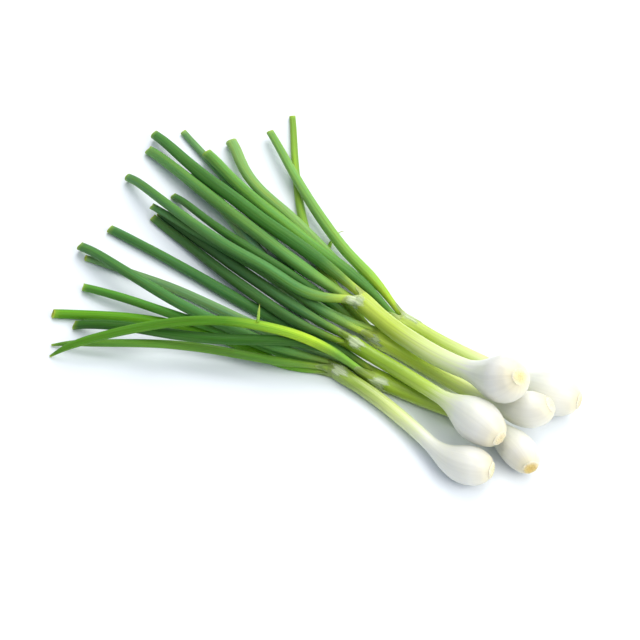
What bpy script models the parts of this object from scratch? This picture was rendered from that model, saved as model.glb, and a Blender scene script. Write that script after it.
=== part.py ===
"""A loose bunch of six trimmed spring onions lying on a flat surface.

The surface is Z = 0, the bulbs point towards +X and the leaves fan out towards -X. Each onion is a bulb
with its pseudostem, a root plate, a papery collar round the neck and three or four tubular leaves. The
routes below are seen from above. The heights follow from the order in which the pieces are laid down:
each strand sinks until it rests on the surface or on the strands below it.
"""

import math

import bpy
import numpy as np

# Driving dimensions, in metres unless a name says otherwise.
MM = 0.001
CLEARANCE = 0.5 * MM
STEP = 2 * MM

ROOT_RADIUS = 4.4 * MM
SHOULDER_LENGTH = 29 * MM
PLATE_THICKNESS = 1.4 * MM
PLATE_GAP = 0.3 * MM
# Shares of the plate's thickness, and of the root end's radius there.
PLATE_PROFILE = [(0, 0.98), (0.45, 0.9), (1, 0.55)]
STEM_SIDES = 12
STEM_RING_SPACING = 6 * MM
BULB_RINGS = 7

LEAF_SIDES = 8
LEAF_RING_SPACING = 11 * MM
NECK_RING_SPACING = 5 * MM
NECK_REACH = 35 * MM
LEAF_GAP = 0.6 * MM
LEAF_FLARE = 0.055
FLARE_START = 12 * MM
TAPER_START = 0.5
POINT_LENGTH = 26 * MM
POINT_RADIUS = 0.7 * MM
FLAT_BELOW = 0.55 * MM

COLLAR_LENGTH = 12 * MM
COLLAR_GAP = 0.35 * MM
COLLAR_THICKNESS = 0.4 * MM
COLLAR_HALF_ANGLE = math.radians(115)
COLLAR_SEGMENTS = 8
COLLAR_RINGS = 3
COLLAR_TOP = 2.0 * MM
COLLAR_NOTCH = 1.6 * MM
COLLAR_WAVE = 1.2 * MM

# How the strands are laid down: the rounds of settling, and the strength of each pull in a round.
STEM_ROUNDS = 200
LEAF_ROUNDS = 420
UPRIGHT_ROUNDS = 260
FALL = 1.0 * MM
STEM_STIFFNESS = 1.0
LEAF_STIFFNESS = 0.01
UPRIGHT_PULL = 0.3
SIDEWAYS_PULL = 0.1
HEIGHT_PULL = 0.2
FREE_WEIGHT = 0.04
DAMPING = 0.02
OVERSHOOT = 1.3
LARGEST_STEP = 4 * MM
LARGEST_RISE = 3 * MM
LOWEST_LEVEL = 5 * MM
LAYER = 0.9 * MM
BASE_RUN = 8 * MM
HELD_RUN = 4 * MM
RISE_START = 12 * MM
RISE_END = 40 * MM
CONTROL_SPACING = 18 * MM

SPROUT_RADIUS = 0.9 * MM
SPROUT_TIP_RADIUS = 0.3 * MM
SPROUT_SIDES = 6
SPROUT_RINGS = 6
SPIKE_LENGTH = 14 * MM
SPIKE_LEAF = "leaf_4d"
SPIKE_PLACE = 0.36
SPIKE_GAP = 0.35 * MM
SPIKE_LEAN = (0.1, 0.02, 1.0)

# Each onion: bulb radius, neck radius, distance from the root end to the widest part, and the route of
# its axis from the neck to the root end, in mm.
ONIONS = {
    1: (12.2, 5.2, 12.5, [(16, 15, 14), (47, 8, 16), (79, 3, 21), (104, 2, 27), (119, 1, 34), (128, 0, 42)]),
    2: (11.2, 3.9, 15.0, [(30, -13, 13), (60, -11, 13), (87, -12, 16), (113, -14, 20), (134, -15, 20)]),
    3: (10.0, 3.9, 11.0, [(33, -26, 4), (64, -26, 4), (89, -30, 6), (114, -34, 9), (134, -27, 13)]),
    4: (8.9, 4.4, 12.0, [(53, -18, 5), (82, -12, 5), (107, -7, 6), (131, -10, 8), (145, -17, 9)]),
    5: (9.5, 4.5, 11.0, [(37, 5, 5), (70, 6, 6), (97, 5, 10), (119, 6, 16), (131, 10, 20), (136, 14, 25)]),
    6: (11.6, 4.0, 14.0, [(39, 26, 5), (68, 24, 6), (96, 25, 7), (124, 24, 10), (146, 27, 12)]),
}

# The leaves in the order in which they are laid, the lowest first. Each has its name, its onion, the
# radius of its blade and of its tip, and the route from the neck to the tip seen from above, in mm.
LEAVES = [
    ("leaf_3a", 3, 2.6, 2.7, [(2, -34), (-31, -44), (-72, -62), (-116, -90)]),
    ("leaf_3b", 3, 2.6, 2.4, [(1, -38), (-33, -48), (-71, -56), (-117, -66)]),
    ("leaf_4a", 4, 2.8, 1.9, [(12, -21), (-31, -29), (-78, -35), (-133, -48)]),
    ("leaf_3c", 3, 3.0, 2.9, [(5, -38), (-26, -47), (-62, -49), (-97, -48), (-140, -45)]),
    ("leaf_4b", 4, 3.3, 2.7, [(11, -16), (-33, -18), (-81, -20), (-138, -23)]),
    ("leaf_3d", 3, 2.5, 0.0, [(1, -39), (-24, -56), (-47, -71), (-73, -89), (-101, -106)]),
    ("leaf_4c", 4, 3.0, 2.6, [(20, -27), (-6, -48), (-32, -64), (-66, -76), (-101, -89)]),
    ("leaf_4d", 4, 2.8, 0.0, [(18, -28), (-14, -46), (-42, -65), (-69, -88), (-96, -112)]),
    ("leaf_2a", 2, 3.7, 3.6, [(-6, -2), (-43, 11), (-83, 25), (-132, 43)]),
    ("leaf_2b", 2, 3.1, 2.3, [(-4, -16), (-40, -13), (-79, -7), (-126, 0)]),
    ("leaf_2c", 2, 3.4, 2.9, [(-4, -11), (-40, -7), (-78, -1), (-125, 5)]),
    ("leaf_5a", 5, 2.7, 2.1, [(-4, 19), (-43, 43), (-80, 77), (-120, 121)]),
    ("leaf_5b", 5, 2.9, 2.1, [(-9, 7), (-54, 27), (-103, 47), (-163, 67)]),
    ("leaf_5c", 5, 2.7, 2.2, [(3, 7), (-25, 7), (-54, 8), (-89, 12), (-129, 21)]),
    ("leaf_5d", 5, 2.8, 2.2, [(0, -2), (-38, -3), (-79, -1), (-129, 4)]),
    ("leaf_6a", 6, 3.1, 3.6, [(3, 30), (-30, 38), (-61, 45), (-97, 55), (-133, 78)]),
    ("leaf_6b", 6, 3.7, 3.2, [(1, 29), (-28, 32), (-57, 37), (-93, 44), (-134, 57)]),
    ("leaf_6c", 6, 3.2, 2.4, [(22, 33), (-1, 40), (-37, 53), (-75, 72), (-118, 97)]),
    ("leaf_1a", 1, 3.8, 3.1, [(-26, 14), (-68, 21), (-114, 30), (-168, 41)]),
    ("leaf_1b", 1, 4.0, 3.0, [(-26, 25), (-58, 28), (-90, 33), (-129, 40), (-173, 52)]),
    ("leaf_1c", 1, 3.2, 2.6, [(-9, -1), (-40, -4), (-73, -3), (-114, 4), (-160, 15)]),
]

# A thin young shoot that lies on the surface under the outermost leaf, seen from above, in mm.
SPROUT_ROUTE = [(-30, 42), (-31, 47), (-33, 52), (-34, 58), (-33, 62)]

# Where the leaves sit in a neck, as sideways and upwards offsets in units of the base radius.
PLACES = {
    3: [(-1.13, -0.65), (0.0, 1.3), (1.13, -0.65)],
    4: [(-1.28, -1.12), (-1.28, 1.12), (1.28, -1.12), (1.28, 1.12)],
}
BASE_SHARES = {3: 0.47, 4: 0.42}

# Base colour, roughness.
FINISHES = {
    "bulb": ((0.86, 0.87, 0.76, 1), 0.30),
    "root_plate": ((0.72, 0.52, 0.24, 1), 0.75),
    "collar": ((0.85, 0.88, 0.74, 1), 0.45),
    "leaf": ((0.09, 0.24, 0.05, 1), 0.42),
    "sprout": ((0.45, 0.62, 0.16, 1), 0.45),
}


def spline_weights(samples, controls):
    """Weights of a clamped cubic B-spline's control points at evenly spaced samples, one row a sample."""
    knots = np.concatenate([[0.0] * 3, np.linspace(0, 1, controls - 2), [1.0] * 3])
    places = np.linspace(0, 1 - 1e-9, samples)[:, None]
    weights = ((knots[:-1] <= places) & (places < knots[1:])).astype(float)
    for degree in (1, 2, 3):
        count = len(knots) - 1 - degree
        raised = np.zeros((samples, count))
        for i in range(count):
            before = knots[i + degree] - knots[i]
            after = knots[i + degree + 1] - knots[i + 1]
            if before > 0:
                raised[:, i] += (places[:, 0] - knots[i]) / before * weights[:, i]
            if after > 0:
                raised[:, i] += (knots[i + degree + 1] - places[:, 0]) / after * weights[:, i + 1]
        weights = raised
    return weights


def distances(points):
    """Length along the points, in plan, from the first to each."""
    runs = np.linalg.norm(np.diff(points[:, :2], axis=0), axis=1)
    return np.concatenate([[0.0], np.cumsum(runs)])


def even_route(points):
    """A smooth curve through the points, as evenly spaced samples about STEP apart."""
    points = np.asarray(points, float)
    ends = np.vstack([2 * points[0] - points[1], points, 2 * points[-1] - points[-2]])
    dense = []
    for i in range(1, len(ends) - 2):
        before, here, after, beyond = ends[i - 1 : i + 3]
        for t in np.linspace(0, 1, 12, endpoint=i == len(ends) - 3):
            bend = 2 * before - 5 * here + 4 * after - beyond
            twist = 3 * here - before - 3 * after + beyond
            dense.append(0.5 * (2 * here + (after - before) * t + bend * t**2 + twist * t**3))
    dense = np.array(dense)
    run = distances(dense)
    count = int(run[-1] / STEP) + 1
    even = np.linspace(0, run[-1], count)
    return np.stack([np.interp(even, run, column) for column in dense.T], 1)


class Strand:
    """A round strand whose axis is a B-spline, kept near a target route while it finds its place."""

    def __init__(self, name, onion, target, radii, controls, held):
        self.name = name
        self.onion = onion
        self.target = target
        self.radii = radii
        self.held = held
        self.weights = spline_weights(len(target), controls)
        self.controls = np.linalg.lstsq(self.weights, target, rcond=None)[0]
        self.start = self.controls.copy()
        bends = np.diff(np.eye(controls), 2, axis=0)
        self.bending = bends.T @ bends

    def points(self):
        return self.weights @ self.controls


def stem_radii(bulb_radius, neck_radius, belly, from_root):
    """Radius of a bulb and its pseudostem at a distance from the root end."""
    rise = np.sin(math.pi / 2 * np.clip(from_root / belly, 0, 1)) ** 0.62
    fall = np.clip((from_root - belly) / SHOULDER_LENGTH, 0, 1)
    fall = (0.5 + 0.5 * np.cos(math.pi * fall)) ** 1.35
    bulb = ROOT_RADIUS + (bulb_radius - ROOT_RADIUS) * rise
    shoulder = neck_radius + (bulb_radius - neck_radius) * fall
    return np.where(from_root < belly, bulb, shoulder)


def stem_strand(number):
    bulb_radius, neck_radius, belly, route = ONIONS[number]
    target = even_route(np.array(route) * MM)
    run = distances(target)
    radii = stem_radii(bulb_radius * MM, neck_radius * MM, belly * MM, run[-1] - run)
    # The collar lies on the neck, so the neck keeps that much more room round it.
    radii = radii + np.where(run < COLLAR_LENGTH, COLLAR_GAP + COLLAR_THICKNESS, 0)
    return Strand(f"bulb_{number}", number, target, radii, 8, 0)


def neck_frame(stem):
    """The neck's centre, its direction out of the stem, and the two directions across it."""
    points = stem.points()
    out = points[0] - points[3]
    out /= np.linalg.norm(out)
    across = np.cross((0, 0, 1), out)
    across /= np.linalg.norm(across)
    return points[0], out, across, np.cross(out, across)


def turn_towards(heading, across):
    """How far a level heading turns towards the direction across, from -1 to 1."""
    return heading @ across[:2] / np.linalg.norm(heading)


def leaf_strands(stems):
    """All the leaves, each starting from its place in its onion's neck."""
    strands = []
    for number, stem in stems.items():
        centre, out, across, above = neck_frame(stem)
        family = [leaf for leaf in LEAVES if leaf[1] == number]
        family.sort(key=lambda leaf: turn_towards(np.array(leaf[4][-1]) * MM - centre[:2], across))
        order = [leaf[0] for leaf in LEAVES]
        places = PLACES[len(family)]
        if len(family) == 4:
            # Of the two leaves on each side of the neck, the one laid first is the lower.
            pairs = [sorted(pair, key=lambda leaf: order.index(leaf[0])) for pair in (family[:2], family[2:])]
            family = pairs[0] + pairs[1]
        elif min(family, key=lambda leaf: order.index(leaf[0])) is family[1]:
            # The middle leaf of three is on top, unless it is the first that is laid.
            places = [(side, -up) for side, up in places]
        radius = BASE_SHARES[len(family)] * ONIONS[number][1] * MM
        for (name, _, blade, tip, route), (side, up) in zip(family, places):
            rank = order.index(name)
            base = centre + out * LEAF_GAP + across * side * radius + above * up * radius
            first = base + out * BASE_RUN
            plan = even_route([base[:2], first[:2]] + [np.array(point) * MM for point in route])
            run = distances(plan)
            level = LOWEST_LEVEL + LAYER * rank
            heights = [base[2], first[2], max(base[2], level), level]
            height = np.interp(run, [0, RISE_START, RISE_END, run[-1]], heights)
            if tip:
                radii = np.interp(run, [TAPER_START * run[-1], run[-1]], [blade * MM, tip * MM])
            else:
                left = np.clip((run[-1] - run) / POINT_LENGTH, 0, 1)
                radii = POINT_RADIUS + (blade * MM - POINT_RADIUS) * np.sin(math.pi / 2 * left) ** 0.7
            radii = np.minimum(radii, radius + LEAF_FLARE * np.maximum(run - FLARE_START, 0))
            controls = max(6, int(run[-1] / CONTROL_SPACING))
            strand = Strand(name, number, np.column_stack([plan, height]), radii, controls, 2)
            strand.controls[0] = base
            strand.controls[1] = base + out * HELD_RUN
            strands.append((rank, strand))
    return [strand for _, strand in sorted(strands, key=lambda pair: pair[0])]


def near_pairs(strands, moving_points):
    """Index pairs of samples on different strands that are close enough to touch soon."""
    points = np.concatenate([strand.points() for strand in strands])
    radii = np.concatenate([strand.radii for strand in strands])
    onion = np.concatenate([[strand.onion] * len(strand.radii) for strand in strands])
    stem = np.concatenate([[strand.held == 0] * len(strand.radii) for strand in strands])
    owner = np.concatenate([[i] * len(strand.radii) for i, strand in enumerate(strands)])
    firsts, seconds = [], []
    for i in range(owner[moving_points - 1] + 1):
        rows = np.flatnonzero(owner == i)
        rest = np.flatnonzero(owner > i)
        low = points[rows].min(0) - 20 * MM
        high = points[rows].max(0) + 20 * MM
        rest = rest[((points[rest] > low) & (points[rest] < high)).all(1)]
        apart = ((points[rows][:, None] - points[rest][None]) ** 2).sum(2)
        a, b = np.nonzero(apart < (radii[rows][:, None] + radii[rest][None] + 4 * MM) ** 2)
        firsts.append(rows[a])
        seconds.append(rest[b])
    first, second = np.concatenate(firsts), np.concatenate(seconds)
    # A leaf grows out of its own stem, so those two don't push each other.
    kept = ~((onion[first] == onion[second]) & (stem[first] | stem[second]))
    return first[kept], second[kept]


def settle(moving, fixed, rounds, gravity, stiffness, upright_rounds, keep_heights):
    """Moves the strands until none overlap and each rests on what is below it.

    In the upright rounds two strands that overlap part mostly upwards and downwards, so that each keeps
    its route seen from above. In the rounds after those they part the shortest way.
    """
    strands = moving + fixed
    radii = np.concatenate([strand.radii for strand in strands])
    starts = np.cumsum([0] + [len(strand.radii) for strand in strands])
    moving_points = starts[len(moving)]
    for count in range(rounds):
        if count % 8 == 0:
            first, second = near_pairs(strands, moving_points)
        upright = count < upright_rounds
        fall = gravity * max(0.0, 1 - count / (0.75 * rounds))
        points = np.concatenate([strand.points() for strand in strands])
        between = points[first] - points[second]
        apart = np.sqrt((between**2).sum(1)) + 1e-12
        deep = radii[first] + radii[second] + CLEARANCE - apart
        hit = deep > 0
        a, b, deep, between, apart = first[hit], second[hit], deep[hit], between[hit], apart[hit]
        push = between * (deep / apart)[:, None]
        if upright:
            reach = radii[a] + radii[b] + CLEARANCE
            level = np.sqrt(np.maximum(reach**2 - (between[:, :2] ** 2).sum(1), 0))
            rise = np.minimum(level - np.abs(between[:, 2]), LARGEST_RISE)
            push *= 0.1
            push[:, 2] = np.where(between[:, 2] >= 0, rise, -rise)
        moves = np.zeros((len(points), 3))
        total = np.zeros(len(points))
        weight = deep**2
        alone = np.where(b >= moving_points, 1.0, 0.5)
        np.add.at(moves, a, push * (alone * weight)[:, None])
        np.add.at(total, a, weight)
        both = b < moving_points
        np.add.at(moves, b[both], -push[both] * (0.5 * weight[both])[:, None])
        np.add.at(total, b[both], weight[both])
        moves[total > 0] /= total[total > 0][:, None]
        for i, strand in enumerate(moving):
            rows = slice(starts[i], starts[i + 1])
            contact = (points[rows], moves[rows], total[rows] > 0)
            shift_strand(strand, contact, fall, stiffness, upright, keep_heights)


def shift_strand(strand, contact, fall, stiffness, upright, keep_heights):
    """One strand's step: contacts first, then its pull towards its route, its weight and its stiffness."""
    points, moves, touching = contact
    wanted = moves.copy()
    sunk = strand.radii - points[:, 2]
    touching = touching | (sunk > 0)
    wanted[sunk > 0, 2] = np.maximum(wanted[sunk > 0, 2], sunk[sunk > 0])
    pull = UPRIGHT_PULL if upright else SIDEWAYS_PULL
    offset = strand.weights @ strand.start - points
    if upright:
        wanted[touching, :2] += pull * offset[touching, :2]
    wanted[~touching, :2] = pull * offset[~touching, :2]
    wanted[~touching, 2] = HEIGHT_PULL * offset[~touching, 2] if keep_heights else -fall
    importance = np.where(touching, 1.0, FREE_WEIGHT)
    bent = strand.controls - strand.start
    if not keep_heights:
        bent = np.column_stack([bent[:, :2], strand.controls[:, 2]])
    system = strand.weights.T @ (importance[:, None] * strand.weights)
    system += DAMPING * np.eye(len(bent)) + stiffness * strand.bending
    goal = strand.weights.T @ (importance[:, None] * wanted) - stiffness * (strand.bending @ bent)
    free = slice(strand.held, None)
    step = np.linalg.solve(system[free, free], goal[free])
    if keep_heights:
        step[0, 2] = 0
    strand.controls[free] += np.clip(OVERSHOOT * step, -LARGEST_STEP, LARGEST_STEP)


def ring_places(length, near, near_reach, far):
    """Places along a strand where its rings go: closer together over the first stretch."""
    first = np.linspace(0, near_reach, max(2, round(near_reach / near) + 1))
    rest = np.linspace(near_reach, length, max(2, round((length - near_reach) / far) + 1))
    return np.concatenate([first, rest[1:]])


def axis_at(points, places):
    """Points of the axis at the given places along it, and the axis's direction at each."""
    runs = np.concatenate([[0.0], np.cumsum(np.linalg.norm(np.diff(points, axis=0), axis=1))])
    centres = np.stack([np.interp(places, runs, column) for column in points.T], 1)
    slopes = np.gradient(points, runs, axis=0)
    directions = np.stack([np.interp(places, runs, column) for column in slopes.T], 1)
    return centres, directions / np.linalg.norm(directions, axis=1)[:, None]


def cross_directions(direction):
    """The level and the upward direction across an axis."""
    across = np.cross((0, 0, 1), direction)
    across /= np.linalg.norm(across)
    return across, np.cross(direction, across)


def finish(name, kind):
    colour, roughness = FINISHES[kind]
    material = bpy.data.materials.new(name)
    material.use_nodes = True
    shader = material.node_tree.nodes["Principled BSDF"]
    shader.inputs["Base Color"].default_value = colour
    shader.inputs["Roughness"].default_value = roughness
    material.diffuse_color = colour
    return material


def place_piece(name, kind, vertices, faces, origin, parent):
    """Makes one named object from points in the bunch's own space, with its origin where it grows from."""
    mesh = bpy.data.meshes.new(name)
    mesh.from_pydata([tuple(vertex - origin) for vertex in vertices], [], faces)
    mesh.validate()
    mesh.shade_smooth()
    mesh.set_sharp_from_angle(angle=math.radians(50))
    piece = bpy.data.objects.new(name, mesh)
    piece.location = origin
    piece.parent = parent
    mesh.materials.append(finish(name, kind))
    bpy.context.scene.collection.objects.link(piece)
    return piece


def tube(centres, directions, radii, sides):
    """Vertices and faces of a closed tube with flat ends, one ring of points at each centre."""
    vertices = []
    for centre, direction, radius in zip(centres, directions, radii):
        across, above = cross_directions(direction)
        for k in range(sides):
            angle = 2 * math.pi * (k + 0.5) / sides
            vertices.append(centre + radius * (math.cos(angle) * across + math.sin(angle) * above))
    faces = [tuple(reversed(range(sides)))]
    for ring in range(len(centres) - 1):
        for k in range(sides):
            a, b = ring * sides + k, ring * sides + (k + 1) % sides
            faces.append((a, b, b + sides, a + sides))
    last = (len(centres) - 1) * sides
    faces.append(tuple(last + k for k in range(sides)))
    vertices = np.array(vertices)
    # A piece that lies on the surface is pressed flat where it touches.
    vertices[vertices[:, 2] < FLAT_BELOW, 2] = 0
    return vertices, faces


def add_bulb(stem, parent):
    bulb_radius, neck_radius, belly, _ = ONIONS[stem.onion]
    points = stem.points()
    length = np.linalg.norm(np.diff(points, axis=0), axis=1).sum()
    belly = belly * MM
    shares = np.linspace(0, 1, BULB_RINGS)
    bulb_places = length - belly * (1 - np.sin(math.pi / 2 * shares))
    count = round((length - belly) / STEM_RING_SPACING)
    places = np.concatenate([np.linspace(0, length - belly, count + 1), bulb_places[1:]])
    radii = stem_radii(bulb_radius * MM, neck_radius * MM, belly, length - places)
    centres, directions = axis_at(points, places)
    vertices, faces = tube(centres, directions, radii, STEM_SIDES)
    place_piece(stem.name, "bulb", vertices, faces, centres[0], parent)


def add_root_plate(stem, parent):
    """The low dome of corky tissue left at the root end when the roots are trimmed."""
    points = stem.points()
    end = points[-1]
    out = (points[-1] - points[-2]) / np.linalg.norm(points[-1] - points[-2])
    rings = [end + out * (PLATE_GAP + share * PLATE_THICKNESS) for share, _ in PLATE_PROFILE]
    radii = [share * ROOT_RADIUS for _, share in PLATE_PROFILE]
    vertices, faces = tube(rings, [out] * 3, radii, STEM_SIDES)
    place_piece(f"root_plate_{stem.onion}", "root_plate", vertices, faces, rings[0], parent)


def add_collar(stem, parent):
    """The papery wrap over the top of the neck, with a ragged end towards the leaves."""
    neck_radius = ONIONS[stem.onion][1]
    inner = neck_radius * MM + COLLAR_GAP
    columns = COLLAR_SEGMENTS + 1
    vertices = []
    for wall in (inner, inner + COLLAR_THICKNESS):
        for ring in range(COLLAR_RINGS):
            for k in range(columns):
                ragged = COLLAR_NOTCH * (k % 2) + COLLAR_WAVE * math.sin(stem.onion + 2.1 * k)
                start = COLLAR_TOP + ragged
                place = start + (COLLAR_LENGTH - start) * ring / (COLLAR_RINGS - 1)
                centres, directions = axis_at(stem.points(), np.array([place]))
                across, above = cross_directions(directions[0])
                angle = COLLAR_HALF_ANGLE * (2 * k / COLLAR_SEGMENTS - 1)
                radial = math.sin(angle) * across + math.cos(angle) * above
                vertices.append(centres[0] + wall * radial)
    faces = []
    outside = COLLAR_RINGS * columns
    for ring in range(COLLAR_RINGS - 1):
        for k in range(COLLAR_SEGMENTS):
            a = ring * columns + k
            b = a + outside
            faces.append((a, a + 1, a + columns + 1, a + columns))
            faces.append((b, b + columns, b + columns + 1, b + 1))
        a = ring * columns
        faces.append((a, a + columns, a + outside + columns, a + outside))
        a += COLLAR_SEGMENTS
        faces.append((a, a + outside, a + outside + columns, a + columns))
    for k in range(COLLAR_SEGMENTS):
        faces.append((k, k + outside, k + 1 + outside, k + 1))
        a = (COLLAR_RINGS - 1) * columns + k
        faces.append((a, a + 1, a + outside + 1, a + outside))
    vertices = np.array(vertices)
    place_piece(f"collar_{stem.onion}", "collar", vertices, faces, vertices[0], parent)


def add_leaf(leaf, parent):
    points = leaf.points()
    length = np.linalg.norm(np.diff(points, axis=0), axis=1).sum()
    places = ring_places(length, NECK_RING_SPACING, NECK_REACH, LEAF_RING_SPACING)
    radii = np.interp(places / length, np.linspace(0, 1, len(leaf.radii)), leaf.radii)
    centres, directions = axis_at(points, places)
    vertices, faces = tube(centres, directions, radii, LEAF_SIDES)
    place_piece(leaf.name, "leaf", vertices, faces, centres[0], parent)


def add_sprout(parent):
    """The young shoot that came away and lies on the surface."""
    plan = even_route(np.array(SPROUT_ROUTE) * MM)
    points = np.column_stack([plan, np.full(len(plan), SPROUT_RADIUS)])
    length = distances(points)[-1]
    places = np.linspace(0, length, SPROUT_RINGS)
    centres, directions = axis_at(points, places)
    radii = np.linspace(SPROUT_RADIUS, SPROUT_TIP_RADIUS, len(places))
    vertices, faces = tube(centres, directions, radii, SPROUT_SIDES)
    place_piece("sprout_1", "sprout", vertices, faces, centres[0], parent)


def add_spike(leaf, parent):
    """The narrow pointed shoot that stands on a leaf."""
    points = leaf.points()
    at = int(SPIKE_PLACE * len(points))
    foot = points[at] + np.array([0, 0, leaf.radii[at] + SPIKE_GAP])
    levels = np.linspace(0, 1, SPROUT_RINGS)
    centres = foot + SPIKE_LENGTH * np.outer(levels, SPIKE_LEAN)
    directions = np.gradient(centres, axis=0) / np.linalg.norm(np.gradient(centres, axis=0), axis=1)[:, None]
    radii = SPROUT_TIP_RADIUS + (SPROUT_RADIUS - SPROUT_TIP_RADIUS) * np.cos(math.pi / 2 * levels)
    vertices, faces = tube(centres, directions, radii, SPROUT_SIDES)
    place_piece("sprout_2", "sprout", vertices, faces, foot, parent)


def centre_on_origin(root):
    """Moves the whole bunch so that its box is centred over the origin."""
    bpy.context.view_layer.update()
    corners = [piece.matrix_world @ vertex.co for piece in root.children for vertex in piece.data.vertices]
    for axis in (0, 1):
        values = [corner[axis] for corner in corners]
        root.location[axis] = -(min(values) + max(values)) / 2


def main():
    for leftover in list(bpy.data.objects):
        bpy.data.objects.remove(leftover)
    root = bpy.data.objects.new("bunch", None)
    bpy.context.scene.collection.objects.link(root)
    stems = {number: stem_strand(number) for number in ONIONS}
    settle(list(stems.values()), [], STEM_ROUNDS, 0.0, STEM_STIFFNESS, 0, True)
    leaves = leaf_strands(stems)
    settle(leaves, list(stems.values()), LEAF_ROUNDS, FALL, LEAF_STIFFNESS, UPRIGHT_ROUNDS, False)
    for stem in stems.values():
        add_bulb(stem, root)
        add_root_plate(stem, root)
        add_collar(stem, root)
    for leaf in leaves:
        add_leaf(leaf, root)
        if leaf.name == SPIKE_LEAF:
            add_spike(leaf, root)
    add_sprout(root)
    centre_on_origin(root)


main()
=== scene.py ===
"""The looks of the spring onion bunch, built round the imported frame.

Every bulb, leaf, root plate, collar and sprout of the frame is replaced by a finer piece that follows the
same axis and the same widths. Lengths are in metres unless a name or a comment says otherwise.
"""

import math

import bpy
import numpy as np
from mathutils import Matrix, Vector


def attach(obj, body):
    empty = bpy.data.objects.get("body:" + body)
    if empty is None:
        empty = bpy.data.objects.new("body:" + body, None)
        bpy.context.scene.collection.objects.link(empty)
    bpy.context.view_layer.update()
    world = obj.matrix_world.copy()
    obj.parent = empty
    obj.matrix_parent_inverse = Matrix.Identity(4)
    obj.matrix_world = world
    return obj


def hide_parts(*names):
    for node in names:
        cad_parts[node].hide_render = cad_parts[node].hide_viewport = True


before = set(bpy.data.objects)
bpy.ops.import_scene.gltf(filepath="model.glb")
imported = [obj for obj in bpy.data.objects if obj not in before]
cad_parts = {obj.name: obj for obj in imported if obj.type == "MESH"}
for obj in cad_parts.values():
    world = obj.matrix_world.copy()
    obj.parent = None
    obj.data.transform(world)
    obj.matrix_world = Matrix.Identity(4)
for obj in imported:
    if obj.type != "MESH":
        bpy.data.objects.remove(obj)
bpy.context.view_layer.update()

MM = 0.001
MICRON = 1e-6
TURN = 2 * math.pi
rng = np.random.default_rng(11)

# The camera looks at this point of the surface, from this far away.
AIM = Vector((0.0111, -0.0048, 0))
AZIMUTH, ELEVATION, DISTANCE = math.radians(39), math.radians(48), 0.831
LENS_MM, SENSOR_MM = 85, 36

# The frame's tubes: the corners of a ring, the nearly straight last stretch of a tube, and the least gap
# between two rings of a sprout.
BULB_SIDES, LEAF_SIDES = 12, 8
END_REACH = 20 * MM
RING_GAP = 1.5 * MM

# How finely the new surfaces are divided, round them and along them. The mouth is the sheath round the
# bases of an onion's leaves.
STEM_COLUMNS, LEAF_COLUMNS, PLATE_COLUMNS, SHOOT_COLUMNS = 72, 48, 40, 16
STEM_STEP, LEAF_STEP, SHOOT_STEP = 1.4 * MM, 2.2 * MM, 0.5 * MM
MOUTH_ROWS, MOUTH_LEVELS = 12, 14
COLLAR_COLUMNS, COLLAR_LEVELS = 40, 22
SIDE_SHOOT_ROWS = 16
HULL_DIRECTIONS, LEAST_FACING = 144, 0.1
CREASE, RELIEF_STRENGTH = math.radians(42), 0.6
# Random waves have fewer lobes than this round a piece, and these radians a metre along it.
WAVE_LOBES, WAVE_PITCHES = 4, (40, 260)

# The least height of a skin above the surface that the bunch lies on.
FLOOR_GAP = 0.1 * MM
LEAF_FLOOR_GAP = 0.12 * MM

# Leaves. The ribs and the squeeze turn by these radians a metre, and reach their full depth where a leaf is
# free of the others. A cut tip is pressed flatter, sinks by a share of its radius, and is cut at a slant.
LEAF_WALL = 0.45 * MM
HOLLOW_DEPTH = 16 * MM
BASE_INSERT, BASE_SHARE = 5 * MM, 0.8
FREE_FROM = 26 * MM
RIB_HEIGHT, RIB_TWIST = 0.011, 22
SQUEEZE_TWIST = 15
PRESS_REACH, PRESS_BULGE, PRESS_SINK = 11 * MM, 0.05, 0.8
CUT_REACH, CUT_BULGE = 3 * MM, 0.08 * MM
# The rows of a cut face: how far in from the skin each is, and how much of the cut's colour it takes.
CUT_FACE = [(0.1 * MM, 0.7), (0.35 * MM, 1.0)]
# A leaf that keeps its own point thins by this share towards it.
POINT_REACH, POINT_THINNING = 60 * MM, 0.22

# Bulbs and stems. The stem flares over its last stretch, and its sheath runs on round the leaves.
FLARE_REACH = 16 * MM
MOUTH_REACH = 13 * MM
SHEATH_WALL = 0.2 * MM
SHEATH_GAP = 0.03 * MM
LEAF_TURN_LEVEL = 3
LOOK_AHEAD = 2 * MM
WAIST_REACH, WAIST_INSET = 8 * MM, 0.006
VEIN_HEIGHT, VEIN_TWIST = 0.0035, 25
RIM_CUT = 0.4
# Behind the root plate a bulb closes in three rows: how far back each is, and its share of the end's radius.
ROOT_END = [(0.25 * MM, 0.8), (0.3 * MM, 0.9), (0.12 * MM, 0.97)]

# Root plates: a low dome, as heights in mm and shares of the bulb's end radius, with stubs of trimmed roots
# spread over it in a spiral.
PLATE_PROFILE = [
    (-0.2, 0.9), (0.05, 1.0), (0.3, 1.0), (0.55, 0.94), (0.78, 0.82), (0.98, 0.64), (1.1, 0.45), (1.17, 0.28),
    (1.2, 0.12),
]
DOME_START = 3
STUB_COUNT, STUB_SIDES, STUB_TURN = 34, 8, 2.4
STUB_SINK = 0.1 * MM
# A stub's rings: the share of its height, the share of its width, and how far from the plate's middle its
# colour is taken. Its top is taken nearer the middle.
STUB_RINGS = [(0, 1.2, 0.75), (0.6, 1.0, 0.75), (1.0, 0.6, 0.35)]
STUB_TOP = 0.1

# The leaves of each onion, the onion that each leaf grows from, and the leaves that were left uncut.
FAMILIES = {1: "abc", 2: "abc", 3: "abcd", 4: "abcd", 5: "abcd", 6: "abc"}
LEAVES = {f"leaf_{onion}{letter}": onion for onion, family in FAMILIES.items() for letter in family}
POINTED = ("leaf_3d", "leaf_4d")

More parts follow.
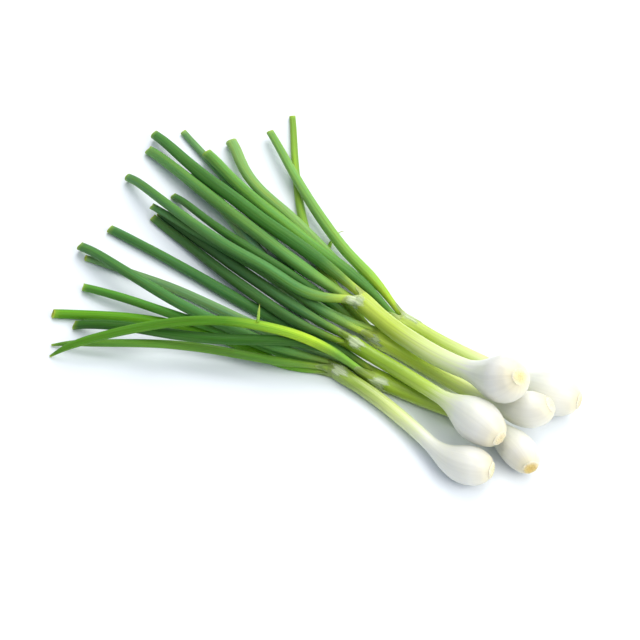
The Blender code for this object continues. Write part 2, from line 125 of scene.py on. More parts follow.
# Colours are sRGB values from 0 to 255, apart from the multipliers and those of the stage.
# The colour of each leaf's blade, as seen in soft white light. Those of leaf_5a, leaf_6a and leaf_6c are
# lighter: partly their own paler green, partly painted backlight at the bunch's edge.
BLADES_AND_PAINTED_BACKLIGHT = {
    "leaf_1a": (95, 148, 67), "leaf_1b": (68, 125, 44), "leaf_1c": (86, 141, 64),
    "leaf_2a": (130, 175, 118), "leaf_2b": (66, 113, 48), "leaf_2c": (69, 116, 58),
    "leaf_3a": (93, 158, 6), "leaf_3b": (84, 149, 42), "leaf_3c": (76, 132, 57), "leaf_3d": (96, 147, 42),
    "leaf_4a": (112, 154, 93), "leaf_4b": (69, 125, 58), "leaf_4c": (46, 100, 14), "leaf_4d": (84, 142, 12),
    # leaf_5a, leaf_6a and leaf_6c: lighter greens, partly painted backlight.
    "leaf_5a": (133, 174, 48), "leaf_5b": (106, 157, 96), "leaf_5c": (60, 112, 37), "leaf_5d": (82, 133, 65),
    "leaf_6a": (138, 181, 92), "leaf_6b": (111, 168, 67), "leaf_6c": (126, 175, 78),
}
# A leaf starts in the lime green of its onion's neck, unless it has greens of its own there: how far from
# the neck, in mm, and which green. The dark stretch of leaf_6b, from 12 to 38 mm, is painted shade.
NECK_GREENS_AND_PAINTED_SHADE = {
    "leaf_4d": [(0, (128, 176, 56)), (22, (108, 154, 46)), (38, (172, 204, 34)), (62, (142, 190, 34))],
    "leaf_6c": [(0, (186, 210, 70)), (16, (172, 204, 44)), (40, (138, 186, 66))],
    "leaf_5a": [(0, (160, 192, 64)), (20, (150, 190, 50)), (45, (146, 192, 66))],
    # leaf_6b's darker greens from 12 to 38 mm are painted shade, where it lies deep between the other leaves.
    "leaf_6b": [(0, (112, 156, 44)), (12, (72, 122, 40)), (38, (76, 128, 50)), (60, (100, 156, 60))],
    "leaf_6a": [(0, (128, 170, 56)), (14, (112, 160, 50)), (40, (124, 174, 74))],
}
BLOOM = (160, 194, 132)
TIP_LIME, EDGE_LIME, CUT_LIME = (176, 206, 80), (186, 202, 58), (196, 206, 86)
LEAF_RAMP_MM = 100
# A multiplier for the warmer and one for the cooler patches of a blade.
WARM, COOL = (1.1, 1.03, 0.8, 1), (0.88, 0.98, 1.14, 1)

# For each onion: how far from the root end its white part ends, in mm, and its pale and its lime green
# above that. The greens of onions 4 and 5 are lightened as painted light, where their stems lie in shade.
STEM_GREENS_AND_PAINTED_LIGHT = {
    1: (40, (214, 227, 154), (189, 210, 78)),
    2: (32, (178, 205, 80), (142, 177, 40)),
    3: (46, (214, 226, 146), (148, 175, 70)),
    # Onions 4 and 5: greens lighter than their own, as painted light on stems that lie in the others' shade.
    4: (32, (194, 216, 100), (162, 192, 58)),
    5: (36, (228, 240, 146), (208, 232, 84)),
    6: (42, (208, 223, 146), (186, 207, 94)),
}
BULB_RIM = (206, 222, 150)
STEM_RAMP_MM = 150

# Each collar: the direction it faces round the neck (0 level, pi / 2 up), half its width as an angle,
# and its lower and upper edges in mm from the stem's end.
COLLARS = {
    1: (0.5, 0.95, -6, 6), 2: (1.2, 0.8, -9, 1), 3: (1.3, 0.8, -8, 2),
    4: (0.5, 0.8, -9, 1), 5: (0.5, 0.7, -6, 2), 6: (2.0, 0.8, -10, 2),
}
PAPER = [(0.3, (204, 222, 162)), (0.55, (218, 232, 186)), (0.8, (236, 242, 222))]

PLATE_TANS = {
    1: (236, 218, 164), 2: (230, 216, 176), 3: (226, 221, 182),
    4: (212, 186, 112), 5: (234, 226, 192), 6: (228, 216, 178),
}
PLATE_BROWN, PLATE_PALE, PLATE_RIM = (190, 146, 70), (228, 222, 200), (226, 220, 196)
BROWNER_PLATES = (1, 4)
CORK_GRAIN = 1400

# Side shoots of the first sprout: where each leaves it, its length in mm, the way it sets off, how it
# curls, and how dry it is.
SIDE_SHOOTS = [
    (0.15, 9, (-0.7, 0.9, 0.35), (0.7, 0.2, -0.1), 0.0),
    (0.85, 5, (0.2, 0.8, 0.3), (0.6, -0.1, -0.3), 1.0),
]
SPROUT_GREENS = [(0, (136, 186, 56)), (0.5, (166, 206, 76)), (1, (198, 214, 96))]
WITHERED = (138, 126, 92)
# A direction that no shoot runs in, from which its sides are worked out.
SHOOT_SIDE = (0.3, 0.9, 0.2)

FLOOR_SIZE, FLOOR_GRAIN = 4, 3
FLOOR_TONES = [(0.3, (0.86, 0.9, 0.94, 1)), (0.7, (0.89, 0.93, 0.97, 1))]
SKY, SKY_STRENGTH = (0.79, 0.85, 1.0, 1), 0.5
# Each lamp: how far it stands to the right of the bunch, away from the camera and up, its width, its power
# in watts, and its colour.
LAMPS = {
    "key": ((0.35, 0.75, 1.1), 1.1, 13.5, (1.0, 0.985, 0.95)),
    "top": ((0.1, -0.1, 1.6), 1.4, 7, (1.0, 0.99, 0.96)),
    "fill": ((0.55, -0.4, 0.5), 0.6, 4.4, (1.0, 0.98, 0.94)),
}


def linear(colour):
    """A colour given as sRGB values from 0 to 255, as the linear values that a shader takes."""
    share = np.array(colour, float) / 255
    value = np.where(share <= 0.04045, share / 12.92, ((share + 0.055) / 1.055) ** 2.4)
    return (*[float(v) for v in value], 1.0)


def mixed(first, second, share):
    """Two linear colours mixed, with this share of the second."""
    return tuple(a + (b - a) * share for a, b in zip(first, second))


def unit(rows):
    """A vector, or each row of vectors, scaled to a length of one."""
    return rows / np.linalg.norm(rows, axis=-1, keepdims=True)


# ---------------------------------------------------------------- reading the frame


def node_mesh(name):
    """The node's vertices, each once, and its triangles."""
    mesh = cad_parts[name].data
    points = np.array([vertex.co for vertex in mesh.vertices])
    keys, index = np.unique(np.round(points / MICRON).astype(int), axis=0, return_inverse=True)
    faces = np.array([polygon.vertices[:] for polygon in mesh.polygons])
    return keys * MICRON, index.reshape(-1)[faces]


def spread(start, links):
    """Breadth-first levels over the mesh's edges, as lists of vertices."""
    seen = set(start)
    levels = [sorted(start)]
    while True:
        beyond = sorted({other for vertex in levels[-1] for other in links[vertex]} - seen)
        if not beyond:
            return levels
        seen.update(beyond)
        levels.append(beyond)


def end_ring(points, faces, sides):
    """The vertices of the flat end of a tube that reaches furthest towards the leaf tips."""
    tip = points[:, 0].argmin()
    near = np.flatnonzero(np.linalg.norm(points - points[tip], axis=1) < END_REACH)
    direction = np.linalg.svd(points[near] - points[near].mean(0))[2][0]
    corners = points[faces[(faces == tip).any(1)]]
    normals = unit(np.cross(corners[:, 1] - corners[:, 0], corners[:, 2] - corners[:, 0]))
    flat = normals[np.abs(normals @ direction).argmax()]
    heights = np.abs((points[near] - points[tip]) @ flat)
    return near[heights.argsort()[:sides]].tolist()


def measured(rings):
    """The centre and the mean radius of each ring of points."""
    centres = np.array([ring.mean(0) for ring in rings])
    radii = np.array([np.linalg.norm(ring - centre, axis=1).mean() for ring, centre in zip(rings, centres)])
    return centres, radii


def rings_of(name, sides):
    """Centres and radii of the rings of a tube node, from its end towards the roots, which is at +X."""
    points, faces = node_mesh(name)
    links = [set() for _ in points]
    for a, b, c in faces:
        links[a] |= {b, c}
        links[b] |= {a, c}
        links[c] |= {a, b}
    levels = spread(end_ring(points, faces, sides), links)
    centres, radii = measured([points[level] for level in levels if len(level) == sides])
    if centres[0, 0] < centres[-1, 0]:
        centres, radii = centres[::-1], radii[::-1]
    return centres, radii


def straight_rings(name):
    """Centres and radii of the rings of a short, nearly straight node, from its thick end."""
    points, _ = node_mesh(name)
    direction = np.linalg.svd(points - points.mean(0))[2][0]
    points = points[(points @ direction).argsort()]
    gaps = np.flatnonzero(np.diff(points @ direction) > RING_GAP) + 1
    centres, radii = measured(np.split(points, gaps))
    if radii[0] < radii[-1]:
        centres, radii = centres[::-1], radii[::-1]
    return centres, radii


# ---------------------------------------------------------------- curves and sections


def smooth(points, values, step):
    """A smooth curve through the points, with values carried along it: rows every step or so."""
    run = np.concatenate([[0.0], np.cumsum(np.linalg.norm(np.diff(points, axis=0), axis=1))])
    both = np.column_stack([points, values])
    slopes = np.gradient(both, run, axis=0)
    places = np.linspace(0, run[-1], int(run[-1] / step) + 2)
    # Cubic Hermite pieces: i is the piece that a place falls in, and t its share of the way along it.
    i = np.clip(np.searchsorted(run, places, side="right") - 1, 0, len(run) - 2)
    gap = (run[i + 1] - run[i])[:, None]
    t = (places - run[i])[:, None] / gap
    curve = (2 * t**3 - 3 * t**2 + 1) * both[i] + (t**3 - 2 * t**2 + t) * gap * slopes[i]
    curve += (3 * t**2 - 2 * t**3) * both[i + 1] + (t**3 - t**2) * gap * slopes[i + 1]
    return curve[:, :3], curve[:, 3], places


def frames_of(points):
    """Directions along a curve, and the level and upward directions across it."""
    along = unit(np.gradient(points, axis=0))
    across = unit(np.cross((0, 0, 1), along))
    return along, across, np.cross(along, across)


def circle_turns(count):
    """Directions spread evenly round a circle."""
    return TURN * np.arange(count) / count


def loop(turns, radius, across, above):
    """Offsets round a centre, which turn from across towards above."""
    return np.outer(np.cos(turns) * radius, across) + np.outer(np.sin(turns) * radius, above)


def waves(count, terms, size):
    """A smooth random pattern over a circle of count directions and a length: a function of the place."""
    turns = circle_turns(count)
    pattern = []
    for _ in range(terms):
        lobes, turned = rng.integers(0, WAVE_LOBES), rng.uniform(0, TURN)
        pitch, start = rng.uniform(*WAVE_PITCHES), rng.uniform(0, 6)
        pattern.append((lobes, turned, pitch, start))

    def value(place):
        total = 0
        for lobes, turned, pitch, start in pattern:
            total = total + np.cos(lobes * turns + turned) * math.cos(pitch * place + start)
        return size * total / math.sqrt(terms)

    return value


def skin(rows):
    """Vertices and faces of a tube whose rows of points run round it, with a fan over each end."""
    count = len(rows[0])
    faces = []
    for row in range(len(rows) - 1):
        for k in range(count):
            a, b = row * count + k, row * count + (k + 1) % count
            faces.append((a, b, b + count, a + count))
    last = (len(rows) - 1) * count
    first_hub, last_hub = last + count, last + count + 1
    faces += [(first_hub, (k + 1) % count, k) for k in range(count)]
    faces += [(last_hub, last + k, last + (k + 1) % count) for k in range(count)]
    return np.vstack([*rows, rows[0].mean(0), rows[-1].mean(0)]), faces


def pad(data, total):
    """Values for every vertex of a skin: its hubs come after the rows, and take the last row's value."""
    data = np.asarray(data, float)
    return np.concatenate([data, np.repeat(data[-1:], total - len(data), axis=0)])


def grown_places(turned, place):
    """Where vertices are in the pattern of streaks: round the tube and along it."""
    return np.column_stack([np.cos(turned), np.sin(turned), place])


def add_piece(name, vertices, faces, values, material, node):
    """One piece of the bunch: its mesh, the values its material reads, and the node it stands for."""
    mesh = bpy.data.meshes.new(name)
    mesh.from_pydata([tuple(v) for v in vertices], [], faces)
    mesh.validate()
    for key, data in values.items():
        data = np.asarray(data, np.float32)
        kind, field = ("FLOAT_VECTOR", "vector") if data.ndim == 2 else ("FLOAT", "value")
        mesh.attributes.new(key, kind, "POINT").data.foreach_set(field, data.ravel())
    mesh.shade_smooth()
    mesh.set_sharp_from_angle(angle=CREASE)
    mesh.materials.append(material)
    piece = bpy.data.objects.new(name, mesh)
    bpy.context.scene.collection.objects.link(piece)
    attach(piece, "root")
    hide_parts(node)


# ---------------------------------------------------------------- shader nodes


def add(tree, kind, *inputs, **settings):
    """A shader node with its settings, and its inputs in order: a socket is linked, a value is set."""
    made = tree.nodes.new(kind)
    for key, value in settings.items():
        setattr(made, key, value)
    for place, value in enumerate(inputs):
        if value is None:
            continue
        if isinstance(value, bpy.types.NodeSocket):
            tree.links.new(value, made.inputs[place])
        else:
            made.inputs[place].default_value = value
    return made


def attribute(tree, name, output="Fac"):
    """A value that add_piece stored with the mesh."""
    return add(tree, "ShaderNodeAttribute", attribute_name=name).outputs[output]


def mapped(tree, value, low, high, to_low=0.0, to_high=1.0):
    """A value brought from one range to another, and held at its ends."""
    return add(tree, "ShaderNodeMapRange", value, low, high, to_low, to_high).outputs[0]


def noise(tree, place, scale, detail):
    """Noise over a place, or over the object's own box where the place is None."""
    return add(tree, "ShaderNodeTexNoise", place, None, scale, detail).outputs["Fac"]


def streaks(tree, around, along, detail, shift):
    """Noise drawn out along a tube: around and along are its scales."""
    grown = attribute(tree, "grown", "Vector")
    moved, scales = (shift, 2 * shift, 3 * shift), (around, around, along)
    placed = add(tree, "ShaderNodeMapping", grown, moved, None, scales).outputs[0]
    return noise(tree, placed, 1.0, detail)


def ramp(tree, factor, stops):
    """A colour ramp over a factor from 0 to 1. Its stops are places and linear colours."""
    made = add(tree, "ShaderNodeValToRGB", factor)
    elements = made.color_ramp.elements
    while len(elements) < len(stops):
        elements.new(0.5)
    for element, (place, colour) in zip(elements, stops):
        element.position = place
        element.color = colour
    return made.outputs[0]


def ramp_along(tree, distance, length, stops):
    """A colour ramp over a distance from 0 to length. Its stops are distances and linear colours."""
    shares = [(place / length, colour) for place, colour in stops]
    return ramp(tree, mapped(tree, distance, 0, length), shares)


def mix(tree, factor, first, second, blend="MIX"):
    """Two colours mixed by a factor. Sockets 6 and 7 of this node are its colours."""
    inputs = [factor, *[None] * 5, first, second]
    return add(tree, "ShaderNodeMix", *inputs, data_type="RGBA", blend_type=blend).outputs[2]


def shaded(tree, colour, shade):
    """A colour made darker or lighter by a value, where 1 leaves it as it is."""
    grey = add(tree, "ShaderNodeCombineColor", shade, shade, shade).outputs[0]
    return mix(tree, 1.0, colour, grey, "MULTIPLY")


def begin(name, **sockets):
    """A new material, its node tree and its shader, with some of the shader's sockets set."""
    material = bpy.data.materials.new(name)
    material.use_nodes = True
    shader = material.node_tree.nodes["Principled BSDF"]
    for key, value in sockets.items():
        shader.inputs[key.replace("_", " ")].default_value = value
    return material, material.node_tree, shader


def finish_surface(tree, shader, colour, rough, height, depth):
    """Links the colour, the roughness and the relief, whose depth is in metres, to the shader."""
    tree.links.new(colour, shader.inputs["Base Color"])
    tree.links.new(rough, shader.inputs["Roughness"])
    bump = tree.nodes.new("ShaderNodeBump")
    bump.inputs["Strength"].default_value = RELIEF_STRENGTH
    bump.inputs["Distance"].default_value = depth
    tree.links.new(height, bump.inputs["Height"])
    tree.links.new(bump.outputs[0], shader.inputs["Normal"])


# ---------------------------------------------------------------- materials


def leaf_stops(node, onion):
    """The greens of a leaf from its neck to its blade, and how far from the neck each is, in mm."""
    blade, lime = linear(BLADES_AND_PAINTED_BACKLIGHT[node]), linear(STEM_GREENS_AND_PAINTED_LIGHT[onion][2])
    if node in NECK_GREENS_AND_PAINTED_SHADE:
        return [(place, linear(colour)) for place, colour in NECK_GREENS_AND_PAINTED_SHADE[node]] + [(85, blade)]
    return [(4, lime), (10, mixed(lime, blade, 0.4)), (18, mixed(lime, blade, 0.8)), (34, blade)]


def leaf_material(node, onion, shift):
    """Lime green at the neck, then the blade's own green with fine streaks, and paler at the cut tip."""
    blade = linear(BLADES_AND_PAINTED_BACKLIGHT[node])
    material, tree, shader = begin(
        f"{node}_green", Specular_IOR_Level=0.25, Subsurface_Weight=0.1, Subsurface_Scale=0.0015
    )
    broad = streaks(tree, 0.9, 14, 2, shift)
    patches = streaks(tree, 1.6, 22, 3, shift + 50)
    fine = streaks(tree, 9, 30, 3, shift)
    ribs = streaks(tree, 16, 6, 1, shift)
    from_tip = attribute(tree, "from_tip")
    green = ramp_along(tree, attribute(tree, "from_base"), LEAF_RAMP_MM, leaf_stops(node, onion))
    green = shaded(tree, green, mapped(tree, broad, 0.3, 0.7, 0.8, 1.2))
    green = mix(tree, 1.0, green, ramp(tree, patches, [(0.36, WARM), (0.64, COOL)]), "MULTIPLY")
    green = shaded(tree, green, mapped(tree, ribs, 0.35, 0.65, 0.84, 1.1))
    green = mix(tree, mapped(tree, fine, 0.45, 0.7, 0.0, 0.2), green, mixed(blade, linear(BLOOM), 0.55))
    green = mix(tree, mapped(tree, from_tip, 0.2, 4.5, 1.0, 0.0), green, mixed(blade, linear(TIP_LIME), 0.4))
    green = mix(tree, mapped(tree, from_tip, 0.1, 1.1, 0.75, 0.0), green, linear(EDGE_LIME))
    green = mix(tree, attribute(tree, "cut"), green, linear(CUT_LIME))
    rough = mapped(tree, fine, 0.3, 0.7, 0.42, 0.62)
    finish_surface(tree, shader, green, rough, ribs, 0.00025)
    return material


def stem_stops(onion):
    """Cream at the root end, white, then the onion's greens, and how far from the root end each is, in mm."""
    white_end, pale, lime = STEM_GREENS_AND_PAINTED_LIGHT[onion]
    stops = [
        (0, (222, 214, 182)), (3, (219, 215, 198)), (8, (223, 222, 212)), (white_end - 8, (225, 227, 212)),
        (white_end, (221, 228, 188)), (white_end + 18, pale), (white_end + 46, lime), (130, lime),
    ]
    return [(place, linear(colour)) for place, colour in stops]


def bulb_material(onion, shift):
    """White at the bulb, cream at the root end, and pale to lime green towards the neck."""
    material, tree, shader = begin(
        f"bulb_{onion}_flesh", Specular_IOR_Level=0.4, Subsurface_Weight=0.45, Subsurface_Scale=0.004,
        Coat_Weight=0.2, Coat_Roughness=0.3,
    )
    shader.inputs["Subsurface Radius"].default_value = (1.0, 0.95, 0.7)
    root = attribute(tree, "from_root")
    veins = streaks(tree, 7, 7, 3, shift)
    broad = streaks(tree, 1.2, 12, 2, shift)
    fibres = streaks(tree, 14, 5, 2, shift)
    # The veins carry the green up to 6 mm further or less far, except close to the root end.
    wander, away = mapped(tree, veins, 0.3, 0.7, -6, 6), mapped(tree, root, 8, 40)
    wander = add(tree, "ShaderNodeMath", wander, away, operation="MULTIPLY").outputs[0]
    place = add(tree, "ShaderNodeMath", root, wander, operation="ADD").outputs[0]
    colour = ramp_along(tree, place, STEM_RAMP_MM, stem_stops(onion))
    colour = shaded(tree, colour, mapped(tree, veins, 0.35, 0.65, 0.97, 1.02))
    # Fibres show only in the green part.
    white_end = STEM_GREENS_AND_PAINTED_LIGHT[onion][0]
    fibrous = shaded(tree, colour, mapped(tree, fibres, 0.35, 0.65, 0.8, 1.1))
    colour = mix(tree, mapped(tree, root, white_end + 2, white_end + 34), colour, fibrous)
    # Past the stem's end the sheath takes on some of the leaves' green, up to its paler rim.
    past_end = mapped(tree, attribute(tree, "past_end"), 0, 11, 0.0, 0.45)
    colour = mix(tree, past_end, colour, linear(BLADES_AND_PAINTED_BACKLIGHT[f"leaf_{onion}b"]))
    colour = mix(tree, attribute(tree, "cut"), colour, linear(BULB_RIM))
    rough = mapped(tree, broad, 0.3, 0.7, 0.3, 0.46)
    finish_surface(tree, shader, colour, rough, veins, 0.00015)
    return material


def plate_material(onion):
    """Tan, speckled cork: browner in the middle and paler at the rim."""
    material, tree, shader = begin(
        f"root_plate_{onion}_cork", Specular_IOR_Level=0.3, Subsurface_Weight=0.1, Subsurface_Scale=0.001
    )
    tan = linear(PLATE_TANS[onion])
    deep = mixed(tan, linear(PLATE_BROWN), 0.35 if onion in BROWNER_PLATES else 0.15)
    stops = [(0, deep), (0.5, tan), (0.85, mixed(tan, linear(PLATE_PALE), 0.5)), (1, linear(PLATE_RIM))]
    grain = noise(tree, tree.nodes.new("ShaderNodeTexCoord").outputs["Object"], CORK_GRAIN, 4)
    colour = ramp(tree, attribute(tree, "from_middle"), stops)
    colour = shaded(tree, colour, mapped(tree, grain, 0.35, 0.65, 0.86, 1.08))
    rough = mapped(tree, grain, 0.3, 0.7, 0.6, 0.85)
    finish_surface(tree, shader, colour, rough, grain, 0.0004)
    return material


def paper_material(onion, shift):
    """The milky skin of a collar: thin enough to see the green through it, and thinnest at its edges."""
    material, tree, shader = begin(f"collar_{onion}_paper", Specular_IOR_Level=0.45)
    fine = streaks(tree, 10, 60, 4, shift)
    broad = streaks(tree, 2.5, 60, 3, shift)
    colour = ramp(tree, fine, [(place, linear(tone)) for place, tone in PAPER])
    rough = mapped(tree, fine, 0.3, 0.7, 0.32, 0.55)
    cover = mapped(tree, broad, 0.35, 0.65, 0.35, 0.8)
    inner = mapped(tree, attribute(tree, "cut"), 0.0, 0.9, 1.0, 0.04)
    cover = add(tree, "ShaderNodeMath", cover, inner, operation="MULTIPLY").outputs[0]
    tree.links.new(cover, shader.inputs["Alpha"])
    finish_surface(tree, shader, colour, rough, fine, 0.0003)
    return material


def sprout_material(node, shift):
    """Young yellow-green, paler towards the tip, and brown where a shoot has withered."""
    material, tree, shader = begin(
        f"{node}_green", Specular_IOR_Level=0.4, Subsurface_Weight=0.15, Subsurface_Scale=0.001
    )
    fine = streaks(tree, 4, 60, 3, shift)
    stops = [(place, linear(green)) for place, green in SPROUT_GREENS]
    colour = ramp(tree, attribute(tree, "from_base"), stops)
    colour = mix(tree, attribute(tree, "dry"), colour, linear(WITHERED))
    colour = shaded(tree, colour, mapped(tree, fine, 0.3, 0.7, 0.85, 1.15))
    rough = mapped(tree, fine, 0.3, 0.7, 0.4, 0.6)
    finish_surface(tree, shader, colour, rough, fine, 0.0002)
    return material


def floor_material():
    """A matt, nearly white surface with a faint variation."""
    material, tree, shader = begin("pale_floor", Roughness=0.6, Specular_IOR_Level=0.2)
    colour = ramp(tree, noise(tree, None, FLOOR_GRAIN, 2), FLOOR_TONES)
    tree.links.new(colour, shader.inputs["Base Color"])
    return material


# ---------------------------------------------------------------- leaves

LEAF_AXES = {node: smooth(*rings_of(node, LEAF_SIDES), LEAF_STEP) for node in LEAVES}


class Leaf:
    """A leaf's axis and widths, with the dents, the ribs and the slanted cut that are its own."""

    def __init__(self, node):
        self.points, self.radii, self.run = LEAF_AXES[node]
        self.along, self.across, self.above = frames_of(self.points)
        self.turns = circle_turns(LEAF_COLUMNS)
        self.length = self.run[-1]
        self.pointed = node in POINTED
        self.dents = waves(LEAF_COLUMNS, 7, 0.016)
        self.rib_count = int(rng.integers(11, 15))
        self.squeeze_turn = rng.uniform(0, math.pi)
        self.squeeze = rng.uniform(0.02, 0.08)
        self.tip_press = rng.uniform(0.15, 0.34)
        self.tilt = rng.uniform(0.25, 0.6)
        self.side_tilt = rng.uniform(-0.45, 0.15)

    def press(self, i):
        """How flat the leaf is pressed at row i: most at a cut tip."""
        return 0.0 if self.pointed else self.tip_press * math.exp((self.run[i] - self.length) / PRESS_REACH)

    def radius(self, i):
        """The leaf's radius in each direction at row i."""
        place, press = self.run[i], self.press(i)
        free = min(1.0, place / FREE_FROM) ** 2
        squeezed = np.cos(self.turns - self.squeeze_turn - SQUEEZE_TWIST * place) ** 2
        pressed = PRESS_BULGE * press - (1 + PRESS_BULGE) * press * np.sin(self.turns) ** 2
        ribs = RIB_HEIGHT * np.cos(self.rib_count * self.turns + RIB_TWIST * place)
        shape = (1 - self.squeeze * free * squeezed) * (1 + pressed) + free * (ribs + self.dents(place))
        return self.radii[i] * shape

    def row(self, i, inset=0.0, forward=0.0):
        """The points round row i, inset from the outer skin and moved forward along the leaf."""
        from_tip = self.length - self.run[i]
        radius = self.radius(i) - inset
        if self.pointed:
            radius = radius * (1 - POINT_THINNING * math.exp(-((from_tip / POINT_REACH) ** 2)))
        # The end is cut at a slant, its upper edge set back.
        cut = 0.0 if self.pointed else self.radii[i] * math.exp(-from_tip / CUT_REACH)
        slant = cut * (self.side_tilt * np.cos(self.turns) - self.tilt * np.sin(self.turns))
        circle = loop(self.turns, radius, self.across[i], self.above[i])
        row = self.points[i] + circle + np.outer(slant + forward, self.along[i])
        sink = PRESS_SINK * self.press(i) * self.radii[i]
        row[:, 2] = np.maximum(row[:, 2] - sink, LEAF_FLOOR_GAP + inset)
        return row

    def rows(self):
        """Rows from inside the neck to the tip, and back down the hollow of a cut leaf.

        Each row has a place, which is how far from the neck it is and how much of a cut face it is.
        """
        rows, places = [], []
        for back in (BASE_INSERT, 0.6 * BASE_INSERT):
            rows.append(self.points[0] + (self.row(0) - self.points[0]) * BASE_SHARE - self.along[0] * back)
            places.append((-back, 0.0))
        last = len(self.run) - 1
        for i in range(last + 1):
            rows.append(self.row(i))
            places.append((self.run[i], 0.0))
        if not self.pointed:
            for inset, cut in CUT_FACE:
                rows.append(self.row(last, inset, CUT_BULGE))
                places.append((self.length, cut))
            for back in range(int(HOLLOW_DEPTH / LEAF_STEP) + 1):
                rows.append(self.row(last - back, LEAF_WALL))
                places.append((self.run[last - back], max(0.0, 0.8 - 0.35 * back)))
        return rows, np.array(places)


def add_leaf(node, onion, shift):
    """A leaf: a tapering tube, hollow at its end where it was cut."""
    leaf = Leaf(node)
    rows, places = leaf.rows()
    vertices, faces = skin(rows)
    place, cut = np.repeat(places, LEAF_COLUMNS, axis=0).T
    total = len(vertices)
    values = {
        "grown": pad(grown_places(np.tile(leaf.turns, len(rows)), place), total),
        "from_base": pad(place / MM, total),
        "from_tip": pad((leaf.length - place) / MM, total),
        "cut": pad(cut, total),
    }
    material = leaf_material(node, onion, shift)
    add_piece(f"{node}_blade", vertices, faces, values, material, node)


# ---------------------------------------------------------------- bulbs and stems


def hull_reach(centres, radii, turns):
    """How far the taut outline round some circles reaches from the origin in each direction."""
    fans = circle_turns(HULL_DIRECTIONS)
    support = np.max([c[0] * np.cos(fans) + c[1] * np.sin(fans) + r for c, r in zip(centres, radii)], axis=0)
    facing = np.cos(fans[None, :] - turns[:, None])
    # The outline's edges that face away from a direction don't limit it, and count as a metre off.
    limits = np.where(facing > LEAST_FACING, support[None, :] / np.maximum(facing, LEAST_FACING), 1.0)
    return limits.min(1)


def axis_point(leaf, place):
    """The point of a leaf's axis at a distance from its base."""
    points, _, run = leaf
    return np.array([np.interp(place, run, column) for column in points.T])


def leaf_section(leaves, place):
    """A cut across the leaves of one onion, at a distance from their bases.

    It gives the middle of the cut, the level and upward directions in it, and the centres and radii of the
    leaves there.
    """
    spots = np.array([axis_point(leaf, place) for leaf in leaves])
    ahead = np.array([axis_point(leaf, place + LOOK_AHEAD) for leaf in leaves])
    centre = spots.mean(0)
    out = unit((ahead - spots).mean(0))
    across = unit(np.cross((0, 0, 1), out))
    above = np.cross(out, across)
    flat = np.column_stack([(spots - centre) @ across, (spots - centre) @ above])
    return centre, across, above, flat, [np.interp(place, run, radii) for _, radii, run in leaves]


class Neck:
    """The surface round an onion's neck: its own stem below the leaves, and the sheath round them above."""

    def __init__(self, onion):
        self.points, self.radii, self.run = smooth(*rings_of(f"bulb_{onion}", BULB_SIDES), STEM_STEP)
        self.along, self.across, self.above = frames_of(self.points)
        self.turns = circle_turns(STEM_COLUMNS)
        leaves = [LEAF_AXES[f"leaf_{onion}{letter}"] for letter in FAMILIES[onion]]
        self.mouth = []
        for level, place in enumerate(np.linspace(0, MOUTH_REACH, MOUTH_LEVELS)):
            centre, across, above, flat, sizes = leaf_section(leaves, place)
            self.mouth.append((centre, across, above, hull_reach(flat, sizes, self.turns)))
            if level == LEAF_TURN_LEVEL:
                self.leaf_turns = np.arctan2(flat[:, 1], flat[:, 0])

    def mouth_point(self, place, column, extra):
        """A point of the sheath above the stem's end: place from that end, column round it."""
        top = MOUTH_LEVELS - 1
        at = np.clip(place / MOUTH_REACH * top, 0, top - 0.001)
        i, t = int(at), at - int(at)
        levels = zip(self.mouth[i], self.mouth[i + 1])
        centre, across, above, reach = [(1 - t) * lower + t * upper for lower, upper in levels]
        out = math.cos(self.turns[column]) * across + math.sin(self.turns[column]) * above
        return centre + out * (reach[column] + extra)

    def mouth_row(self, places, extra):
        """A row round the sheath, whose points are at different places from the stem's end."""
        return np.array([self.mouth_point(place, k, extra) for k, place in enumerate(places)])

    def stem_row(self, i, extra, shape=1.0):
        """A row round the stem, which swells near its end to take the leaves."""
        near = np.clip(1 - (self.run[-1] - self.run[i]) / FLARE_REACH, 0, 1)
        near = near * near * (3 - 2 * near)
        centre, _, _, reach = self.mouth[0]
        wide = np.maximum(reach + SHEATH_WALL, self.radii[i])
        radius = (1 - near) * self.radii[i] * shape + near * wide + extra
        circle = loop(self.turns, radius, self.across[i], self.above[i])
        return self.points[i] + circle + near**3 * (centre - self.points[-1])

    def surface_point(self, place, turn, gap):
        """A point over the neck's surface: place is measured from the stem's end, towards the leaves."""
        share = (turn / TURN * STEM_COLUMNS) % STEM_COLUMNS
        column, part = int(share), share - int(share)
        columns = (column, (column + 1) % STEM_COLUMNS)
        if place >= 0:
            spots = [self.mouth_point(place, c, SHEATH_WALL + gap) for c in columns]
        else:
            at = np.interp(self.run[-1] + place, self.run, np.arange(len(self.run)))
            i, t = min(int(at), len(self.run) - 2), at - int(at)
            lower, upper = self.stem_row(i, gap), self.stem_row(i + 1, gap)
            spots = [(1 - t) * lower[c] + t * upper[c] for c in columns]
        return (1 - part) * spots[0] + part * spots[1]


def mouth_lengths(neck, onion):
    """How far the sheath runs up the leaves all round: a tongue along each leaf, short between them."""
    reach = np.zeros(STEM_COLUMNS)
    for turn in neck.leaf_turns:
        facing = np.clip(np.cos(neck.turns - turn), 0, 1) ** 5
        reach = np.maximum(reach, rng.uniform(6, 10.5) * facing)
    ragged = 0.25 * np.sin(9 * neck.turns + onion) + 0.15 * np.sin(17 * neck.turns + 2.3 * onion)
    return (1.4 + reach + ragged) * MM


